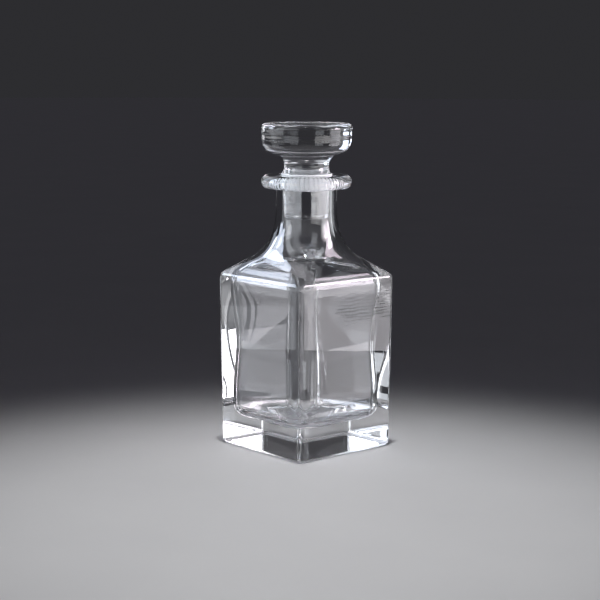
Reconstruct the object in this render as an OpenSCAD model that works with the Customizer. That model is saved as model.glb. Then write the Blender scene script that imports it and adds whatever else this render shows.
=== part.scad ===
// Square glass decanter: one thick bottle, a solid glass stopper and a ribbed plastic sleeve
// around the stopper's plug that seals it in the neck.
// Units are millimetres. Z is up, the foot stands on z = 0 and the neck is on the Z axis.
// The flat sides face +X, -X, +Y and -Y.

/* [Body] */

// Width across the flats at the shoulder
side_top = 70.2; // [66:0.1:74]
// Width across the flats at the foot
side_foot = 68.1; // [64:0.1:72]
// Radius of the four upright corners
corner_r = 3.4; // [2:0.1:6]
// Height at which the flat sides turn into the shoulder
shoulder_z = 96.0; // [94:0.1:97]
// Rounding of the outer bottom edge
foot_r = 2.4; // [1.5:0.1:2.5]

/* [Cavity] */

// Height of the inside floor above the table
floor_z = 16.8; // [14:0.1:19]
// Half width of the cavity just above its floor
cavity_half = 29.0; // [26:0.1:31]
// How far the wall swells inward half way up
wall_swell = 2.4; // [0:0.1:3]
// How far the wall thins again towards the shoulder
wall_thin = 1.4; // [0:0.1:3]
// Inside radius of the four upright corners
cavity_corner = 7.0; // [5:0.1:10]
// How much larger that radius becomes at the floor
corner_grow = 2.0; // [0:0.1:4]
// Rounding where the cavity wall meets its floor
floor_r = 6.5; // [3:0.1:7]

/* [Neck] */

// Outside radius of the neck
neck_r = 16.7; // [15:0.1:18]
// Radius of the bore
bore_r = 13.7; // [13:0.05:14.5]
// Height of the mouth
mouth_z = 151.7; // [148:0.1:155]
// Outside radius of the rounded lip
lip_r = 25.1; // [22:0.1:27]
// Thickness of the rounded lip
lip_t = 7.2; // [5:0.1:9]
// Rounding of the mouth edge inside the bore
mouth_edge = 0.3; // [0.1:0.05:0.6]

/* [Foot] */

// Depth of the panel sunk into the underside
panel_depth = 0.8; // [0.3:0.1:2]
// Width of the sunk panel
panel_w = 60.0; // [50:0.5:60.5]
// Corner radius of the sunk panel
panel_r = 6.0; // [3:0.5:12]

/* [Stopper] */

// Overall height of the closed decanter
total_z = 180.0; // [178:0.1:182]
// Radius of the head at its upper rim
head_r = 25.2; // [22:0.1:27]
// Radius of the head just above its rounded underside
head_low_r = 24.7; // [22:0.1:27]
// Height of the underside of the head
head_z = 163.5; // [161:0.1:165]
// Rounding of the lower edge of the head
head_low_edge = 7.5; // [4:0.1:8]
// Height from which the head widens towards its rim
head_flare_z = 173; // [172:0.1:175]
// Rounding of the upper rim of the head
rim_edge = 2.6; // [1:0.1:4]
// Depth of the dished top
dish = 1.5; // [0.5:0.1:3]
// Radius of the dished area
dish_r = 20.0; // [15:0.1:22]
// Radius of the waist
waist_r = 12.35; // [11:0.05:13]
// Height of the narrowest point of the waist
waist_z = 157.0; // [156:0.1:158]
// Radius of the hollow of the waist below its narrowest point
waist_low_R = 10.0; // [8:0.5:14]
// Radius of the plug where it carries the sleeve
plug_r = 12.70; // [12:0.01:13]
// Radius of the plug at its lower end
plug_end_r = 12.15; // [11:0.05:12.6]
// Height of the lower end of the plug
plug_z = 128.0; // [120:0.1:135]
// Rounding of the lower end of the plug
plug_edge = 1.6; // [0.5:0.1:3]

/* [Seal] */

// Running gap between the sleeve and its neighbours, on the radius
gap = 0.04; // [0.02:0.01:0.08]
// Height of the lower end of the sleeve
seal_z = 143.6; // [140:0.1:146]
// Outside radius of the rim that rests on the mouth
seal_rim_r = 14.15; // [13.9:0.05:15]
// Thickness of that rim
seal_rim_t = 0.8; // [0.5:0.1:1.5]
// Number of upright grooves around the sleeve
seal_ribs = 40; // [20:1:60]
// Depth of the grooves
rib_depth = 0.25; // [0.1:0.05:0.4]

/* [Output] */

// Which piece to draw

/* [Hidden] */

$fn = 96;
// Small overlap that joins two outlines
e = 0.01;
top_half = side_top / 2;
foot_half = side_foot / 2;
// Heights and radii of the flare between shoulder and neck
round_z = 120;
neck_z = 134;
flare_a = 17;
// Height at which the stopper's waist rests on the sleeve's rim
seat_z = mouth_z + seal_rim_t + gap;
flare_R = (neck_z - round_z) / sin(flare_a);
round_r = neck_r + flare_R * (1 - cos(flare_a));
// Segments in each rounded corner of a ring
CN = 12;
// Softness of the edge between a flat side and the shoulder, and the height it reaches above it
edge_soft = 0.8;
edge_reach = 6;
// The same on the four corners
corner_soft = 1.1;
corner_reach = 12;
// Smallest corner radius that a ring may have
least_r = 1;
// How far a loft's top ring stays inside the revolved neck that continues it
tuck = 0.02;
// Longer than any radius of the object
far = 40;

function lerp(a, b, t) = a + (b - a) * t;

// Half width of the flat sides below the shoulder
function flat_half(z) = lerp(foot_half, top_half, z / shoulder_z);
// The smaller and the larger of two values, rounded over a width w where they are close
function soft_min(a, b, w) = (a + b - sqrt(pow(a - b, 2) + 4 * w * w)) / 2;
function soft_max(a, b, w) = (a + b + sqrt(pow(a - b, 2) + 4 * w * w)) / 2;
function clamp01(t) = max(0, min(1, t));
function smooth(t) = let (c = clamp01(t)) c * c * (3 - 2 * c);

// An arc of radius R that leaves (round_r, round_z) at flare_a from the vertical and runs down
function arc_r(z, R) = round_r + R * cos(flare_a)
    - sqrt(max(0, R * R - pow(R * sin(flare_a) + round_z - z, 2)));

// Middle of a flat side: one long arc from the neck down to the shoulder edge
side_R = 45;
function side_shoulder(z) = z >= neck_z ? neck_r
    : z >= round_z ? neck_r + flare_R - sqrt(flare_R * flare_R - pow(neck_z - z, 2))
    : arc_r(z, side_R);
// Diagonal: a tighter arc from the neck, then a straight slope out to the corner
diag_R = 23.5;
diag_a = 63;
diag_z1 = round_z - diag_R * (sin(diag_a) - sin(flare_a));
diag_r1 = round_r + diag_R * (cos(flare_a) - cos(diag_a));
function diag_shoulder(z) = z >= round_z ? side_shoulder(z)
    : z >= diag_z1 ? arc_r(z, diag_R)
    : diag_r1 + (diag_z1 - z) * tan(diag_a);

function diag_of(half, r) = (half - r) * sqrt(2) + r;
function out_half(z) = z > shoulder_z + edge_reach ? side_shoulder(z)
    : soft_min(flat_half(z), side_shoulder(z), edge_soft);
function out_diag(z) = z >= round_z ? side_shoulder(z)
    : soft_min(diag_of(flat_half(z), corner_r), diag_shoulder(z),
        z < shoulder_z + corner_reach ? corner_soft : 0);
// Corner radius of a rounded square from its half width and its radius on the diagonal
function radius_of(half, diag) = (half * sqrt(2) - diag) / (sqrt(2) - 1);
function out_radius(z) = min(out_half(z), max(least_r, radius_of(out_half(z), out_diag(z))));

// A ring of points around a rounded square at height z
function ring(half, r, z) = [for (q = [0:3], i = [0:CN])
    let (a = q * 90 + i * 90 / CN, ca = q * 90 + 45, m = (half - r) * sqrt(2))
    [m * cos(ca) + r * cos(a), m * sin(ca) + r * sin(a), z]];

// A closed solid through a stack of rings
module loft(rings) {
    n = len(rings[0]);
    m = len(rings);
    polyhedron(
        points = [for (k = [0:m - 1]) each rings[k]],
        faces = concat(
            [[for (i = [n - 1:-1:0]) (m - 1) * n + i]],
            [[for (i = [0:n - 1]) i]],
            [for (k = [0:m - 2], i = [0:n - 1], t = [0:1])
                let (j = (i + 1) % n, a = k * n + i, b = k * n + j, c = a + n, d = b + n)
                t == 0 ? [a, c, d] : [a, d, b]]),
        convexity = 6);
}

function out_ring(z) = ring(out_half(z), out_radius(z), z);

// Inset and height of the rings that round the outer bottom edge
foot_steps = [for (a = [0:18:90]) [foot_r * (1 - sin(a)), foot_r * (1 - cos(a))]];
// Heights of the rings from just under the shoulder edge up to the neck
level_steps = concat([-4], [for (i = [-3:0.75:4.5]) i], [for (i = [5.5:1.25:22]) i]);
out_levels = [for (h = level_steps) shoulder_z + h];

module body_outside() {
    loft(concat(
        [for (s = foot_steps) ring(flat_half(s[1]) - s[0], corner_r, s[1])],
        [for (z = out_levels) out_ring(z)],
        [ring(round_r - tuck, round_r - tuck, round_z)]));
}

// Cavity: wavy upright walls, then a soft shoulder that follows the outside at wall thickness
wave_z = 25;
wave_h = 70;
thin_h = 67;
function wall_half(z) = cavity_half - wall_swell * pow(sin(180 * (z - wave_z) / wave_h), 2)
    + wall_thin * pow((z - wave_z) / thin_h, 3);
// Height below which the corners of the cavity grow rounder
grow_z = 45;
function wall_corner(z) = cavity_corner + corner_grow * smooth((grow_z - z) / (grow_z - floor_z));
// How far the inside shoulder lies below and inside the outside one
down = 2.0;
inset = neck_r - bore_r;
in_round_z = round_z - down;
in_round_r = round_r - inset;
// Softness between wall and shoulder on the flats, on the corners, and where the corners become
// one circle; all of it fades out near the neck
wall_soft = 2.0;
dome_soft = 3.0;
round_soft = 1.0;
fade_h = 12;
function fade(z) = clamp01((in_round_z - z) / fade_h);
function in_half(z) = soft_min(wall_half(z), side_shoulder(z + down) - inset, wall_soft * fade(z));
function dome_radius(z) = radius_of(in_half(z), diag_shoulder(z + down) - inset);
function in_radius(z) = soft_min(in_half(z),
    soft_max(wall_corner(z), dome_radius(z), dome_soft * fade(z)), round_soft * fade(z));
function in_ring(z) = ring(in_half(z), in_radius(z), z);
// Share of a floor ring's inset that its corner radius loses
floor_pinch = 0.3;
// Inset and height of the rings that round the edge of the cavity's floor
floor_steps = [for (a = [0:22.5:90]) [floor_r * (1 - sin(a)), floor_r * (1 - cos(a))]];
// Heights of the rings up the wall and over the inside shoulder
in_levels = concat([for (z = [27:6:81]) z], [for (z = [85:1.5:116.5]) z]);

module cavity() {
    loft(concat(
        [for (s = floor_steps) let (z = floor_z + s[1])
            ring(wall_half(z) - s[0], wall_corner(z) - s[0] * floor_pinch, z)],
        [for (z = in_levels) in_ring(z)],
        [ring(in_round_r - tuck, in_round_r - tuck, in_round_z)]));
}

module neck_outline() {
    lip_e = lip_t / 2;
    difference() {
        translate([0, round_z]) square([round_r, neck_z - round_z]);
        translate([neck_r + flare_R, neck_z]) circle(flare_R, $fn = 360);
    }
    translate([0, neck_z - e]) square([neck_r, mouth_z - lip_e - neck_z + e]);
    translate([0, mouth_z - lip_t]) square([lip_r - lip_e, lip_t]);
    translate([lip_r - lip_e, mouth_z - lip_e]) circle(lip_e);
}

module bore_outline() {
    difference() {
        translate([0, in_round_z]) square([in_round_r, neck_z - down - in_round_z]);
        translate([bore_r + flare_R, neck_z - down]) circle(flare_R, $fn = 360);
    }
    translate([0, neck_z - down - e]) square([bore_r, mouth_z - neck_z + down + 1]);
    polygon([[0, mouth_z - mouth_edge], [bore_r, mouth_z - mouth_edge],
        [bore_r + mouth_edge, mouth_z], [bore_r + mouth_edge, mouth_z + 1], [0, mouth_z + 1]]);
}

module rounded_square(w, r) {
    square([w - 2 * r, w], center = true);
    square([w, w - 2 * r], center = true);
    for (x = [-1, 1], y = [-1, 1])
        translate([x * (w / 2 - r), y * (w / 2 - r)]) circle(r);
}

module bottle() {
    color([0.86, 0.90, 0.92, 0.4])
    difference() {
        union() {
            body_outside();
            rotate_extrude() neck_outline();
        }
        cavity();
        rotate_extrude() bore_outline();
        translate([0, 0, -1]) linear_extrude(panel_depth + 1) rounded_square(panel_w, panel_r);
    }
}

module waist_outline() {
    up_R = head_z - waist_z;
    difference() {
        translate([0, seat_z]) square([waist_r + up_R, head_z - seat_z + e]);
        intersection() {
            translate([waist_r + up_R, waist_z]) circle(up_R);
            translate([0, waist_z]) square([far, up_R]);
        }
        intersection() {
            translate([waist_r + waist_low_R, waist_z]) circle(waist_low_R);
            translate([0, waist_z - waist_low_R]) square([far, waist_low_R]);
        }
    }
}

module head_outline() {
    low = head_z + head_low_edge;
    dish_R = (dish_r * dish_r + dish * dish) / (2 * dish);
    difference() {
        union() {
            polygon([[0, head_z], [head_low_r - head_low_edge, head_z], [head_low_r, low],
                [head_low_r, head_flare_z], [head_r, total_z - rim_edge],
                [head_r - rim_edge, total_z], [0, total_z]]);
            translate([head_low_r - head_low_edge, low]) circle(head_low_edge);
            translate([head_r - rim_edge, total_z - rim_edge]) circle(rim_edge);
        }
        translate([0, total_z - dish + dish_R]) circle(dish_R, $fn = 720);
    }
}

// How far below the sleeve the plug's taper ends
taper_end = 1;

module plug_outline() {
    translate([0, plug_z]) square([plug_end_r - plug_edge, 2 * plug_edge]);
    translate([plug_end_r - plug_edge, plug_z + plug_edge]) circle(plug_edge);
    polygon([[0, plug_z + plug_edge], [plug_end_r, plug_z + plug_edge],
        [plug_r, seal_z - taper_end], [plug_r, seat_z + e], [0, seat_z + e]]);
}

module stopper() {
    color([0.88, 0.91, 0.93, 0.4])
    rotate_extrude() intersection() {
        union() {
            head_outline();
            waist_outline();
            plug_outline();
        }
        translate([0, plug_z - 1]) square([far, total_z - plug_z + 2]);
    }
}

// Width of a groove, and how far below the mouth it stops
groove_w = 0.7;
groove_stop = 1.2;

module seal() {
    top = mouth_z + seal_rim_t;
    out_r = bore_r - gap;
    in_r = plug_r + gap;
    color([0.93, 0.95, 0.96, 0.75])
    difference() {
        rotate_extrude() {
            translate([in_r, seal_z]) square([out_r - in_r, top - seal_z]);
            translate([in_r, mouth_z]) square([seal_rim_r - in_r, seal_rim_t]);
        }
        for (i = [0:seal_ribs - 1])
            rotate([0, 0, i * 360 / seal_ribs])
                translate([out_r - rib_depth, -groove_w / 2, seal_z - 1])
                    cube([2 * rib_depth, groove_w, mouth_z - seal_z - groove_stop + 1]);
    }
}

bottle();
stopper();
seal();
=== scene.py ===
"""Looks for the square glass decanter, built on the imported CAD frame. Metres, +Z up."""

import math

import bmesh
import bpy
from mathutils import Matrix, Vector


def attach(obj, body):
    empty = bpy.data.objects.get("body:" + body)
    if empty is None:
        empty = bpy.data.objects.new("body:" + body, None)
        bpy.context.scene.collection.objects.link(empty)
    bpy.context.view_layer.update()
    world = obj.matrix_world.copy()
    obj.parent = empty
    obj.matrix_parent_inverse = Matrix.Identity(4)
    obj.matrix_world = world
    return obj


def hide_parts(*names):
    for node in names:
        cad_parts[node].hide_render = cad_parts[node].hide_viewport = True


MM = 0.001

# ---------------------------------------------------------------- dimensions, in millimetres
SIDE_TOP, SIDE_FOOT = 70.18, 68.1
CORNER_R, FOOT_R, SHOULDER_Z = 3.4, 2.4, 96.0
FLOOR_Z, FLOOR_R = 16.8, 6.5
CAVITY_HALF, CAVITY_CORNER = 29.0, 7.0
WALL_SWELL, WALL_THIN = 2.4, 1.4
NECK_R, BORE_R, MOUTH_Z = 16.7, 13.7, 151.7
LIP_R, LIP_T, MOUTH_EDGE = 25.1, 7.2, 0.3
PANEL_DEPTH, PANEL_W, PANEL_R = 0.8, 60.0, 6.0
ROUND_Z, NECK_Z, FLARE_A = 120.0, 134.0, math.radians(17)
SIDE_SHOULDER_R, DIAG_SHOULDER_R, DIAG_A = 45.0, 23.5, math.radians(63)
WALL_DROP, BLEND_W, BLEND_FADE = 2.0, 2.0, 12.0
CORNER_GROW, GROW_Z = 2.0, 45.0
EDGE_SOFT, EDGE_REACH = 0.8, 6.0  # rounding of the shoulder's edge, and how far up it is felt
CORNER_SOFT, CORNER_REACH = 1.1, 12.0  # the same where the edge meets a corner
DOME_SOFT, ROUND_SOFT = 3.0, 1.0  # blends of the cavity's corners into its round top
WAVE_Z, WAVE_H, THIN_H = 25.0, 70.0, 67.0  # the inside wall's wave: its start, its length, its thinning
FLOOR_PINCH = 0.3  # how far the floor's corners tighten for each millimetre inwards
LEAST_R = 1.0
PANEL_ROUND, STRIP_ROUND, NECK_ROUND = 0.3, 0.25, 0.5

TOTAL_Z, HEAD_R, HEAD_LOW_R = 180.0, 25.2, 24.7
HEAD_Z, HEAD_LOW_EDGE, HEAD_FLARE_Z, RIM_EDGE = 163.5, 7.5, 173.0, 2.6
DISH, DISH_R = 1.5, 20.0
WAIST_R, WAIST_Z, WAIST_LOW_R = 12.35, 157.0, 10.0
PLUG_R, PLUG_END_R, PLUG_Z, PLUG_EDGE = 12.7, 12.15, 128.0, 1.6

GAP, SEAL_Z, SEAL_RIM_R, SEAL_RIM_T = 0.04, 143.6, 14.15, 0.8
SEAL_RIBS, RIB_DEPTH, RIB_POINTS = 40, 0.25, 12
SEAL_PRESS = 0.03  # the sleeve bites this far into the neck, so that it shows through the glass
SEAL_SOFT, SEAL_RIM_ROUND = 0.15, 0.35

FLARE_R = (NECK_Z - ROUND_Z) / math.sin(FLARE_A)
ROUND_R = NECK_R + FLARE_R * (1 - math.cos(FLARE_A))
DIAG_Z = ROUND_Z - DIAG_SHOULDER_R * (math.sin(DIAG_A) - math.sin(FLARE_A))
DIAG_R = ROUND_R + DIAG_SHOULDER_R * (math.cos(FLARE_A) - math.cos(DIAG_A))
SEAT_Z = MOUTH_Z + SEAL_RIM_T + GAP

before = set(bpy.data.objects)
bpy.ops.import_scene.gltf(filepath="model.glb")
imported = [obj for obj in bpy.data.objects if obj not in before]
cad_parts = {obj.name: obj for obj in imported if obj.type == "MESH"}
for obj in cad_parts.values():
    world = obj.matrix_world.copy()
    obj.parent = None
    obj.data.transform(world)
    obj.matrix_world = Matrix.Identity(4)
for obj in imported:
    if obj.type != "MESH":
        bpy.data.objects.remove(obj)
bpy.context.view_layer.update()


# ---------------------------------------------------------------- profile functions
def lerp(a, b, t):
    return a + (b - a) * t


def steps(a, b, count):
    """count + 1 evenly spaced values from a to b."""
    return [lerp(a, b, i / count) for i in range(count + 1)]


def soft_min(a, b, width):
    return (a + b - math.sqrt((a - b) ** 2 + 4 * width * width)) / 2


def soft_max(a, b, width):
    return (a + b + math.sqrt((a - b) ** 2 + 4 * width * width)) / 2


def shoulder_arc(z, big_r):
    drop = big_r * math.sin(FLARE_A) + ROUND_Z - z
    return ROUND_R + big_r * math.cos(FLARE_A) - math.sqrt(max(0.0, big_r**2 - drop**2))


def side_shoulder(z):
    """Radius of the middle of a side, from the shoulder edge up to the neck."""
    if z >= NECK_Z:
        return NECK_R
    if z >= ROUND_Z:
        return NECK_R + FLARE_R - math.sqrt(FLARE_R**2 - (NECK_Z - z) ** 2)
    return shoulder_arc(z, SIDE_SHOULDER_R)


def diag_shoulder(z):
    """Radius on the diagonal, from the corner up to the neck."""
    if z >= ROUND_Z:
        return side_shoulder(z)
    if z >= DIAG_Z:
        return shoulder_arc(z, DIAG_SHOULDER_R)
    return DIAG_R + (DIAG_Z - z) * math.tan(DIAG_A)


def diag_of(half, radius):
    return (half - radius) * math.sqrt(2) + radius


def radius_of(half, diag):
    return min(half, max(LEAST_R, (half * math.sqrt(2) - diag) / (math.sqrt(2) - 1)))


def flat_half(z):
    return lerp(SIDE_FOOT, SIDE_TOP, z / SHOULDER_Z) / 2


def outside(z):
    """Half width and corner radius of the outside at height z."""
    if z >= ROUND_Z:
        return side_shoulder(z), side_shoulder(z)
    half = side_shoulder(z)
    if z <= SHOULDER_Z + EDGE_REACH:
        half = soft_min(flat_half(z), half, EDGE_SOFT)
    blend = CORNER_SOFT if z < SHOULDER_Z + CORNER_REACH else 0.0
    diag = soft_min(diag_of(flat_half(z), CORNER_R), diag_shoulder(z), blend)
    return half, radius_of(half, diag)


def wall_half(z):
    """Half width of the cavity below the shoulder, with the wave in its wall."""
    swell = WALL_SWELL * math.sin(math.radians(180 * (z - WAVE_Z) / WAVE_H)) ** 2
    return CAVITY_HALF - swell + WALL_THIN * ((z - WAVE_Z) / THIN_H) ** 3


def wall_corner(z):
    """Corner radius of the cavity, which grows towards its floor."""
    t = max(0.0, min(1.0, (GROW_Z - z) / (GROW_Z - FLOOR_Z)))
    return CAVITY_CORNER + CORNER_GROW * t * t * (3 - 2 * t)


def inside(z):
    """Half width and corner radius of the cavity at height z."""
    top = ROUND_Z - WALL_DROP
    inset = NECK_R - BORE_R
    neck = side_shoulder(z + WALL_DROP) - inset
    if z >= top:
        return neck, neck
    blend = min(1.0, (top - z) / BLEND_FADE)
    half = soft_min(wall_half(z), neck, BLEND_W * blend)
    shoulder = (half * math.sqrt(2) - diag_shoulder(z + WALL_DROP) + inset) / (math.sqrt(2) - 1)
    corner = soft_max(wall_corner(z), shoulder, DOME_SOFT * blend)
    return half, soft_min(half, corner, ROUND_SOFT * blend)


# ---------------------------------------------------------------- mesh building
def square_angles():
    """Directions around a rounded square: sparse on the flats, close together at the corners."""
    octant = steps(0, 41, 20)[:-1] + steps(41, 45, 10)[:-1]
    quarter = octant + [90 - a for a in [45] + octant[:0:-1]]
    return [math.radians(q * 90 + a) for q in range(4) for a in quarter]


def reach(half, radius, angle):
    """Distance from the axis to a rounded square in the given direction."""
    a = abs((angle + math.pi / 4) % (math.pi / 2) - math.pi / 4)
    c, s = math.cos(a), math.sin(a)
    core = half - radius
    if half * s / c <= core:
        return half / c
    along = core * (c + s)
    return along + math.sqrt(max(0.0, along * along - 2 * core * core + radius * radius))


def square_ring(half, radius, z, angles):
    ring = []
    for a in angles:
        d = reach(half, radius, a)
        ring.append(Vector((d * math.cos(a), d * math.sin(a), z)) * MM)
    return ring


def skin(name, rings, loop=False):
    """One closed surface through a stack of rings: a loop of them, or a stack with a fan at each end."""
    bm = bmesh.new()
    rows = [[bm.verts.new(p) for p in ring] for ring in rings]
    count = len(rows[0])
    above = rows[1:] + rows[:1] if loop else rows[1:]
    for low, high in zip(rows, above):
        for i in range(count):
            j = (i + 1) % count
            bm.faces.new((low[i], low[j], high[j], high[i]))
    for row, flip in () if loop else ((rows[0], True), (rows[-1], False)):
        tip = bm.verts.new(sum((v.co for v in row), Vector()) / count)
        for i in range(count):
            pair = (row[(i + 1) % count], row[i]) if flip else (row[i], row[(i + 1) % count])
            bm.faces.new((*pair, tip))
    bmesh.ops.recalc_face_normals(bm, faces=bm.faces)
    mesh = bpy.data.meshes.new(name)
    bm.to_mesh(mesh)
    bm.free()
    mesh.shade_smooth()
    piece = bpy.data.objects.new(name, mesh)
    bpy.context.scene.collection.objects.link(piece)
    return piece


def arc(cx, cz, radius, start, end, count):
    """Points (r, z) along an arc, angles in degrees from +r towards +z."""
    return [
        (cx + radius * math.cos(math.radians(a)), cz + radius * math.sin(math.radians(a)))
        for a in steps(start, end, count)
    ]


# ---------------------------------------------------------------- the pieces
def build_bottle():
    angles = square_angles()
    sections = []

    # underside: sunk panel, its edge, then the strip that it stands on
    half = PANEL_W / 2
    for inset in (24, 16, 9, 4, 1.4, 0.6):
        sections.append((half - inset, max(LEAST_R, PANEL_R - inset * 0.2), PANEL_DEPTH))
    for r, z in arc(half - PANEL_ROUND, PANEL_DEPTH - PANEL_ROUND, PANEL_ROUND, 90, 0, 4):
        sections.append((r, PANEL_R, z))
    for r, z in arc(half + STRIP_ROUND, 0, -STRIP_ROUND, 0, 90, 4):
        sections.append((r, PANEL_R, STRIP_ROUND + z))
    foot = SIDE_FOOT / 2
    for t in (0.15, 0.35, 0.6, 0.85):
        sections.append((lerp(half + STRIP_ROUND, foot - FOOT_R, t), lerp(PANEL_R, CORNER_R, t), 0))
    for a in steps(0, 90, 10):
        out = FOOT_R * (1 - math.sin(math.radians(a)))
        z = FOOT_R * (1 - math.cos(math.radians(a)))
        sections.append((flat_half(z) - out, CORNER_R, z))

    # outside of the body, shoulder and neck
    heights = steps(3, 6, 3) + steps(8, 92, 28) + steps(92.8, 99.6, 24) + steps(100.2, 106, 12)
    heights += steps(106.8, 120, 18) + steps(121, 134, 10) + steps(136, MOUTH_Z - LIP_T - 1, 4)
    for z in heights:
        sections.append((*outside(z), z))

    # rounded lip
    edge = LIP_T / 2
    under = MOUTH_Z - LIP_T
    lip = [(NECK_R, under - NECK_ROUND)]
    lip += arc(NECK_R + NECK_ROUND, under - NECK_ROUND, NECK_ROUND, 180, 90, 5)[1:]
    lip += [(lerp(NECK_R + NECK_ROUND, LIP_R - edge, t), under) for t in (0.3, 0.7)]
    lip += arc(LIP_R - edge, MOUTH_Z - edge, edge, -90, 90, 28)
    rim = BORE_R + MOUTH_EDGE
    lip += [(lerp(LIP_R - edge, rim, t), MOUTH_Z) for t in (0.25, 0.5, 0.75)]
    lip += arc(rim, MOUTH_Z - MOUTH_EDGE, MOUTH_EDGE, 90, 180, 5)
    lip += [(BORE_R, z) for z in steps(MOUTH_Z - 1.5, 134, 8)]
    for r, z in lip:
        sections.append((r, r, z))

    # cavity
    heights = steps(132, 119, 10) + steps(118, 107, 16) + steps(106.4, 100, 16)
    heights += steps(99.6, 90, 24) + steps(88.5, FLOOR_Z + FLOOR_R + 0.5, 26)
    for z in heights:
        sections.append((*inside(z), z))
    for a in steps(90, 0, 8):
        out = FLOOR_R * (1 - math.sin(math.radians(a)))
        z = FLOOR_Z + FLOOR_R * (1 - math.cos(math.radians(a)))
        sections.append((wall_half(z) - out, wall_corner(z) - out * FLOOR_PINCH, z))
    base_half = wall_half(FLOOR_Z) - FLOOR_R
    base_corner = wall_corner(FLOOR_Z) - FLOOR_R * FLOOR_PINCH
    for t in (0.95, 0.85, 0.7, 0.5, 0.3, 0.15):
        sections.append((base_half * t, base_corner * t, FLOOR_Z))

    return skin("bottle_glass", [square_ring(h, r, z, angles) for h, r, z in sections])


def round_ring(radius, z, count):
    return [Vector((radius * math.cos(a), radius * math.sin(a), z)) * MM
            for a in (2 * math.pi * i / count for i in range(count))]


def build_stopper():
    low = HEAD_Z + HEAD_LOW_EDGE
    dish_big = (DISH_R**2 + DISH**2) / (2 * DISH)
    up_r = HEAD_Z - WAIST_Z
    outline = [(r, PLUG_Z) for r in (3, 6, 9)]
    outline += arc(PLUG_END_R - PLUG_EDGE, PLUG_Z + PLUG_EDGE, PLUG_EDGE, -90, 0, 8)
    plug_top = SEAL_Z - 1
    outline += [(lerp(PLUG_END_R, PLUG_R, t), lerp(PLUG_Z + PLUG_EDGE, plug_top, t))
                for t in (0.1, 0.4, 0.7, 1)]
    outline += [(PLUG_R, z) for z in steps(plug_top + 1, SEAT_Z, 6)]
    low_x = WAIST_R + WAIST_LOW_R
    ring_r = low_x - math.sqrt(WAIST_LOW_R**2 - (WAIST_Z - SEAT_Z) ** 2)
    outline += [(lerp(PLUG_R, ring_r, 0.85), SEAT_Z), (ring_r, SEAT_Z + 0.1)]
    start = 180 + math.degrees(math.asin((WAIST_Z - SEAT_Z - 0.3) / WAIST_LOW_R))
    outline += arc(low_x, WAIST_Z, WAIST_LOW_R, start, 180, 8)
    outline += arc(WAIST_R + up_r, WAIST_Z, up_r, 180, 90, 16)[1:-1]
    outline += arc(HEAD_LOW_R - HEAD_LOW_EDGE, low, HEAD_LOW_EDGE, -80, 0, 16)
    outline += [(HEAD_LOW_R, HEAD_FLARE_Z - 1), (HEAD_LOW_R, HEAD_FLARE_Z)]
    rim_z = TOTAL_Z - RIM_EDGE
    outline += [(lerp(HEAD_LOW_R, HEAD_R, t * t), lerp(HEAD_FLARE_Z, rim_z, t)) for t in (0.35, 0.7)]
    outline += arc(HEAD_R - RIM_EDGE, rim_z, RIM_EDGE, 0, 90, 16)
    outline += [(DISH_R + 1.4, TOTAL_Z), (DISH_R + 0.6, TOTAL_Z - 0.02)]
    outline += [(r, TOTAL_Z - DISH + dish_big - math.sqrt(dish_big**2 - r * r))
                for r in (20, 19, 17, 14, 11, 8, 5, 2.5)]
    return skin("stopper_glass", [round_ring(r, z, 128) for r, z in outline])


def build_seal():
    """A sleeve with upright grooves, drawn as a closed loop of rings."""
    inner = PLUG_R + GAP
    outer = BORE_R + SEAL_PRESS
    top = MOUTH_Z + SEAL_RIM_T
    count = SEAL_RIBS * RIB_POINTS

    def ribbed(z):
        ring = []
        for i in range(count):
            a = 2 * math.pi * i / count
            dip = RIB_DEPTH * math.sqrt(max(0.0, 2 * math.cos(a * SEAL_RIBS) - 1))
            ring.append(Vector(((outer - dip) * math.cos(a), (outer - dip) * math.sin(a), z)) * MM)
        return ring

    rings = [round_ring(inner, z, count) for z in steps(top - SEAL_SOFT, SEAL_Z + SEAL_SOFT, 6)]
    rings += [round_ring(lerp(inner, outer - RIB_DEPTH, t), SEAL_Z, count) for t in (0.15, 0.85)]
    rings += [ribbed(z) for z in steps(SEAL_Z + 0.2, MOUTH_Z - 0.4, 8)]
    rings += [round_ring(outer, MOUTH_Z - 0.1, count)]
    rim = [(SEAL_RIM_R - 0.2, MOUTH_Z + 0.02)]
    rim += arc(SEAL_RIM_R - SEAL_RIM_ROUND, top - SEAL_RIM_ROUND, SEAL_RIM_ROUND, -30, 90, 6)
    rim += [(inner + SEAL_SOFT, top)]
    rings += [round_ring(r, z, count) for r, z in rim]
    return skin("seal_sleeve", rings, loop=True)


# ---------------------------------------------------------------- materials
WAVE_SCALE, WAVE_DEPTH = 22, 0.00012
RIPPLE_PITCH, RIPPLE_DEPTH, RIPPLE_DRIFT = 0.0018, 0.000035, 9
STIPPLE_PITCH, STIPPLE_DEPTH = 0.0018, 0.00015
SMEAR_ROUGHNESS, FOOT_ROUGHNESS = 0.05, 0.35
GLASS_IOR = 1.52
# where the ripples fade in and out, in metres: upwards, at their top, along the side, out to the side
RIPPLE_UP, RIPPLE_TOP = (0.066, 0.080), (0.088, 0.094)
RIPPLE_ALONG, RIPPLE_SIDE = (-0.022, 0.004), (-0.0345, -0.0335)
# where the stippled foot fades: upwards, and outwards from the sunk panel
STIPPLE_UP, STIPPLE_OUT = (0.0012, 0.0022), (0.0300, 0.0303)


def new_material(name):
    mat = bpy.data.materials.new(name)
    mat.use_nodes = True
    return mat, mat.node_tree, mat.node_tree.nodes["Principled BSDF"]


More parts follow.
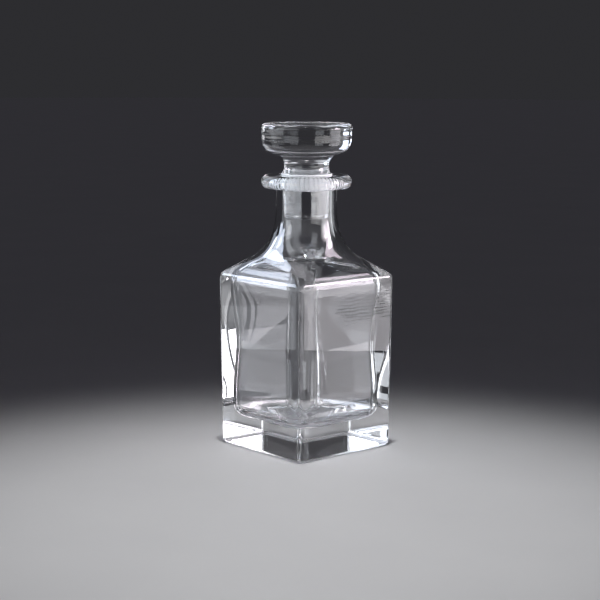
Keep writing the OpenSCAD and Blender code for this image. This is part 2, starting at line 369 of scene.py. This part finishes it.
class Maker:
    """Adds nodes to one material's tree and wires them up."""

    def __init__(self, tree):
        self.tree = tree

    def node(self, kind, **settings):
        node = self.tree.nodes.new(kind)
        for key, value in settings.items():
            setattr(node, key, value)
        return node

    def wire(self, source, target):
        if isinstance(source, (int, float)):
            target.default_value = source
        else:
            self.tree.links.new(source, target)

    def math(self, operation, *values):
        node = self.node("ShaderNodeMath", operation=operation)
        for value, socket in zip(values, node.inputs):
            self.wire(value, socket)
        return node.outputs[0]

    def ramp(self, value, low, high, out_low=0.0, out_high=1.0):
        """Maps low..high to out_low..out_high, smoothly and clamped."""
        node = self.node("ShaderNodeMapRange", interpolation_type="SMOOTHSTEP")
        for source, name in ((value, "Value"), (low, "From Min"), (high, "From Max"),
                             (out_low, "To Min"), (out_high, "To Max")):
            self.wire(source, node.inputs[name])
        return node.outputs["Result"]

    def noise(self, vector, scale, detail=1.0):
        node = self.node("ShaderNodeTexNoise")
        self.wire(scale, node.inputs["Scale"])
        self.wire(detail, node.inputs["Detail"])
        self.tree.links.new(vector, node.inputs["Vector"])
        return node.outputs["Fac"]

    def place(self, stretch=(1, 1, 1)):
        """Object coordinates, stretched along each axis."""
        mapping = self.node("ShaderNodeMapping")
        mapping.inputs["Scale"].default_value = stretch
        coord = self.node("ShaderNodeTexCoord")
        self.tree.links.new(coord.outputs["Object"], mapping.inputs["Vector"])
        return mapping.outputs["Vector"]

    def axes(self):
        split = self.node("ShaderNodeSeparateXYZ")
        self.tree.links.new(self.place(), split.inputs[0])
        return split.outputs

    def bump(self, height, distance, target, below=None):
        node = self.node("ShaderNodeBump")
        node.inputs["Distance"].default_value = distance
        self.wire(height, node.inputs["Height"])
        if below is not None:
            self.wire(below, node.inputs["Normal"])
        if target is not None:
            self.tree.links.new(node.outputs["Normal"], target)
        return node.outputs["Normal"]


def glass_base(name, color):
    mat, tree, bsdf = new_material(name)
    bsdf.inputs["Base Color"].default_value = (*color, 1)
    bsdf.inputs["Transmission Weight"].default_value = 1
    bsdf.inputs["IOR"].default_value = GLASS_IOR
    return mat, Maker(tree), bsdf


def bottle_material():
    """Pressed glass: gentle waves, a rippled patch on one side, a stippled foot, faint smears."""
    mat, make, bsdf = glass_base("bottle_glass", (0.985, 0.99, 0.995))
    x, y, z = make.axes()
    waves = make.noise(make.place(), WAVE_SCALE)
    normal = make.bump(waves, WAVE_DEPTH, None)
    # fine level ripples left by the mould, high on the side that faces -Y
    side = make.ramp(y, *RIPPLE_SIDE, 1, 0)
    height = make.math("MULTIPLY", make.ramp(z, *RIPPLE_UP), make.ramp(z, *RIPPLE_TOP, 1, 0))
    across = make.math("MULTIPLY", make.ramp(x, *RIPPLE_ALONG), side)
    patch = make.math("MULTIPLY", height, across)
    drift = make.noise(make.place((1, 1, 3)), 90, 2)
    level = make.math("MULTIPLY", z, 2 * math.pi / RIPPLE_PITCH)
    phase = make.math("ADD", level, make.math("MULTIPLY", drift, RIPPLE_DRIFT))
    ripples = make.math("MULTIPLY", make.math("SINE", phase), patch)
    normal = make.bump(ripples, RIPPLE_DEPTH, None, normal)
    # short bars pressed into the edge that it stands on
    reach_out = make.math("MAXIMUM", make.math("ABSOLUTE", x), make.math("ABSOLUTE", y))
    foot = make.math("MULTIPLY", make.ramp(z, *STIPPLE_UP, 1, 0), make.ramp(reach_out, *STIPPLE_OUT))
    along = make.math("ADD", x, y)
    bars = make.math("SINE", make.math("MULTIPLY", along, 2 * math.pi / STIPPLE_PITCH))
    bars = make.math("MULTIPLY", make.math("ADD", bars, make.noise(make.place(), 900, 2)), foot)
    normal = make.bump(bars, STIPPLE_DEPTH, None, normal)
    make.wire(normal, bsdf.inputs["Normal"])
    smears = make.ramp(make.noise(make.place((1, 1, 0.6)), 70, 4), 0.56, 0.72, 0, SMEAR_ROUGHNESS)
    frost = make.math("MULTIPLY", foot, FOOT_ROUGHNESS)
    make.wire(make.math("MAXIMUM", smears, frost), bsdf.inputs["Roughness"])
    return mat


def stopper_material():
    """Fire-polished glass with faint turning marks around the axis."""
    mat, make, bsdf = glass_base("stopper_glass", (0.985, 0.988, 0.995))
    normal = make.bump(make.noise(make.place((1, 1, 4)), 40), 0.00005, None)
    fine = make.noise(make.place((1, 1, 9)), 160, 3)
    make.bump(fine, 0.000004, bsdf.inputs["Normal"], normal)
    make.wire(make.ramp(fine, 0.55, 0.75, 0, 0.03), bsdf.inputs["Roughness"])
    return mat


def seal_material():
    """Milky soft plastic, a little cloudier in places, with a fine satin grain."""
    mat, tree, bsdf = new_material("milky_plastic")
    make = Maker(tree)
    cloud = make.noise(make.place(), 260, 3)
    blend = make.node("ShaderNodeValToRGB")
    blend.color_ramp.elements[0].color = (0.93, 0.96, 0.98, 1)
    blend.color_ramp.elements[1].color = (0.98, 0.99, 1.0, 1)
    make.wire(cloud, blend.inputs["Fac"])
    make.wire(blend.outputs["Color"], bsdf.inputs["Base Color"])
    bsdf.inputs["Transmission Weight"].default_value = 0.06
    bsdf.inputs["IOR"].default_value = 1.5
    make.wire(make.ramp(cloud, 0.3, 0.7, 0.38, 0.52), bsdf.inputs["Roughness"])
    make.bump(make.noise(make.place(), 2400, 2), 0.00002, bsdf.inputs["Normal"])
    return mat


def floor_material():
    """Pale matt table top with a very slight unevenness."""
    mat, tree, bsdf = new_material("pale_floor")
    make = Maker(tree)
    grain = make.noise(make.place(), 14, 4)
    blend = make.node("ShaderNodeValToRGB")
    blend.color_ramp.elements[0].color = (0.60, 0.60, 0.615, 1)
    blend.color_ramp.elements[1].color = (0.66, 0.66, 0.67, 1)
    make.wire(grain, blend.inputs["Fac"])
    make.wire(blend.outputs["Color"], bsdf.inputs["Base Color"])
    bsdf.inputs["Roughness"].default_value = 0.6
    return mat


# ---------------------------------------------------------------- stage
FLOOR_RADIUS = 6


def build_floor():
    bm = bmesh.new()
    bmesh.ops.create_circle(bm, cap_ends=True, segments=96, radius=FLOOR_RADIUS)
    mesh = bpy.data.meshes.new("floor")
    bm.to_mesh(mesh)
    bm.free()
    floor = bpy.data.objects.new("floor", mesh)
    bpy.context.scene.collection.objects.link(floor)
    floor.data.materials.append(floor_material())
    return floor


COOL, BLUE, NEUTRAL = (0.9, 0.94, 1.0), (0.76, 0.84, 1.0), (1.0, 0.99, 1.0)
PINK, LILAC = (1.0, 0.86, 0.97), (0.98, 0.95, 1.0)
SOFTBOX_DISTANCE, AIM_Z = 0.8, 0.09
# name, degrees round from the camera, lowest and highest elevation, width in degrees, glow, colour
SOFTBOXES = (
    ("left_front", -40, -5, 24, 40, 1.9, COOL),
    ("left_front_high", -40, 24, 66, 30, 1.2, COOL),
    ("left_key", -70, 8, 24, 20, 6.8, COOL),
    ("left_key_high", -70, 24, 60, 20, 2.6, COOL),
    ("left_low", -80, -5, 8, 40, 0.6, COOL),
    ("left_strip", -100, 8, 28, 14, 13, BLUE),
    ("left_strip_top", -110, 28, 46, 8, 13, BLUE),
    ("left_back", -130, 8, 44, 20, 2.1, BLUE),
    ("right_front", 30, -5, 8, 20, 2.7, NEUTRAL),
    ("right_front_high", 30, 24, 44, 20, 1.7, COOL),
    ("right_key", 50, -5, 8, 20, 3.8, NEUTRAL),
    ("right_side", 70, 8, 24, 20, 4.0, NEUTRAL),
    ("right_top", 70, 44, 66, 20, 4.2, COOL),
    ("right_low", 100, -5, 8, 40, 0.8, NEUTRAL),
    ("right_fill", 90, 8, 24, 20, 1.0, COOL),
    ("right_edge", 85, 8, 34, 9, 24, PINK),
    ("window_left", 69, 13, 27, 2.4, 40, PINK),
    ("window_right", 74.5, 11, 25, 2.4, 40, PINK),
)
POOL_FORWARD, POOL_Z, POOL_POWER, POOL_CONE, POOL_LAMP_R = 0.16, 1.6, 75, 23, 0.05
REFLECTOR_DISTANCE = 0.30
# name, degrees round from the camera, bottom, top and width in metres, glow, colour
REFLECTORS = (
    ("left_face", -90, 0.002, 0.034, 0.11, 1.9, COOL),
    ("left_face_high", -90, 0.034, 0.16, 0.11, 1.05, COOL),
    ("left_face_front", -70, 0.045, 0.11, 0.11, 1.1, COOL),
    ("left_corner", -32, 0.045, 0.11, 0.11, 1.2, COOL),
    ("right_corner", 32, 0.002, 0.11, 0.11, 2.0, COOL),
    ("right_face", 76, 0.002, 0.042, 0.17, 4.4, LILAC),
    ("right_face_high", 76, 0.042, 0.16, 0.17, 3.3, LILAC),
    ("right_back", 115, 0.002, 0.16, 0.11, 1.1, COOL),
)


def glowing_panel(name, place, facing, width, height, glow, color, off_floor):
    """A soft panel that lights the glass and leaves the floor alone."""
    light = bpy.data.lights.new(name, "AREA")
    light.shape = "RECTANGLE"
    light.size = width
    light.size_y = height
    light.energy = math.pi * glow * width * height
    light.color = color
    lamp = bpy.data.objects.new(name, light)
    lamp.location = place
    lamp.rotation_euler = facing.to_track_quat("-Z", "Y").to_euler()
    lamp.visible_camera = False
    lamp.light_linking.receiver_collection = off_floor
    bpy.context.scene.collection.objects.link(lamp)


def direction(azimuth, elevation):
    a, e = math.radians(azimuth), math.radians(elevation)
    return Vector((math.sin(a) * math.cos(e), -math.cos(a) * math.cos(e), math.sin(e)))


def pool(azimuth):
    """A soft pool of light on the floor in front of the object."""
    light = bpy.data.lights.new("pool", "SPOT")
    light.energy = POOL_POWER
    light.spot_size = math.radians(POOL_CONE)
    light.spot_blend = 1
    light.shadow_soft_size = POOL_LAMP_R
    lamp = bpy.data.objects.new("pool", light)
    lamp.location = direction(azimuth, 0) * POOL_FORWARD + Vector((0, 0, POOL_Z))
    bpy.context.scene.collection.objects.link(lamp)


def build_lights(camera_azimuth, floor):
    off_floor = bpy.data.collections.new("off_floor")
    off_floor.objects.link(floor)
    off_floor.collection_objects[0].light_linking.link_state = "EXCLUDE"
    for name, offset, low, high, width, glow, color in SOFTBOXES:
        elevation = (low + high) / 2
        outward = direction(camera_azimuth + offset, elevation)
        across = 2 * SOFTBOX_DISTANCE * math.tan(math.radians(width / 2))
        across *= math.cos(math.radians(elevation))
        tall = 2 * SOFTBOX_DISTANCE * math.tan(math.radians((high - low) / 2))
        place = Vector((0, 0, AIM_Z)) + outward * SOFTBOX_DISTANCE
        glowing_panel(name, place, -outward, across, tall, glow, color, off_floor)
    for name, offset, bottom, top, width, glow, color in REFLECTORS:
        outward = direction(camera_azimuth + offset, 0)
        place = outward * REFLECTOR_DISTANCE + Vector((0, 0, (bottom + top) / 2))
        glowing_panel(name, place, -outward, width, top - bottom, glow, color, off_floor)
    pool(camera_azimuth)


GLASS_BOUNCES, GLOSS_BOUNCES = 20, 12
# height of the view direction, and the colour there
WORLD_STOPS = ((0.08, (0.026, 0.026, 0.029, 1)), (0.5, (0.042, 0.041, 0.048, 1)))


def build_world():
    """A dark studio, and enough light bounces for thick glass."""
    world = bpy.data.worlds.new("studio")
    world.use_nodes = True
    bpy.context.scene.world = world
    bpy.context.scene.view_settings.view_transform = "Standard"
    cycles = bpy.context.scene.cycles
    cycles.max_bounces = cycles.transmission_bounces = GLASS_BOUNCES
    cycles.glossy_bounces = GLOSS_BOUNCES
    tree = world.node_tree
    back = tree.nodes["Background"]
    coord = tree.nodes.new("ShaderNodeTexCoord")
    split = tree.nodes.new("ShaderNodeSeparateXYZ")
    ramp = tree.nodes.new("ShaderNodeValToRGB")
    for stop, (position, color) in zip(ramp.color_ramp.elements, WORLD_STOPS):
        stop.position = position
        stop.color = color
    tree.links.new(coord.outputs["Generated"], split.inputs["Vector"])
    tree.links.new(split.outputs["Z"], ramp.inputs["Fac"])
    tree.links.new(ramp.outputs["Color"], back.inputs["Color"])
    back.inputs["Strength"].default_value = 1


CAMERA_AZIMUTH = -41.1
CAMERA_ELEVATION = 8.9
CAMERA_DISTANCE = 0.910
CAMERA_AIM_Z = 0.0819
CAMERA_SHIFT = -0.0033
CAMERA_ROLL = 0.23
CAMERA_LENS, CAMERA_SENSOR = 98, 36


def build_camera():
    cam = bpy.data.cameras.new("camera")
    cam.lens = CAMERA_LENS
    cam.sensor_width = CAMERA_SENSOR
    cam.clip_start = 0.01
    obj = bpy.data.objects.new("camera", cam)
    back = direction(CAMERA_AZIMUTH, CAMERA_ELEVATION)
    a = math.radians(CAMERA_AZIMUTH)
    right = Vector((math.cos(a), math.sin(a), 0))
    up = back.cross(right)
    place = Vector((0, 0, CAMERA_AIM_Z)) + back * CAMERA_DISTANCE + right * CAMERA_SHIFT
    turn = Matrix((right, up, back)).transposed().to_4x4()
    roll = Matrix.Rotation(math.radians(CAMERA_ROLL), 4, "Z")
    obj.matrix_world = Matrix.Translation(place) @ turn @ roll
    bpy.context.scene.collection.objects.link(obj)
    bpy.context.scene.camera = obj


# ---------------------------------------------------------------- assembly
bottle_glass = bottle_material()
stopper_glass = stopper_material()
milky = seal_material()

for build, mat, node, slot in (
    (build_bottle, bottle_glass, "bottle", "bottle_glass"),
    (build_stopper, stopper_glass, "stopper", "stopper_glass"),
    (build_seal, milky, "seal", "seal_plastic"),
):
    piece = build()
    piece.data.materials.append(mat)
    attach(piece, node)
    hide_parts(node)

floor = build_floor()
build_world()
build_lights(CAMERA_AZIMUTH, floor)
build_camera()
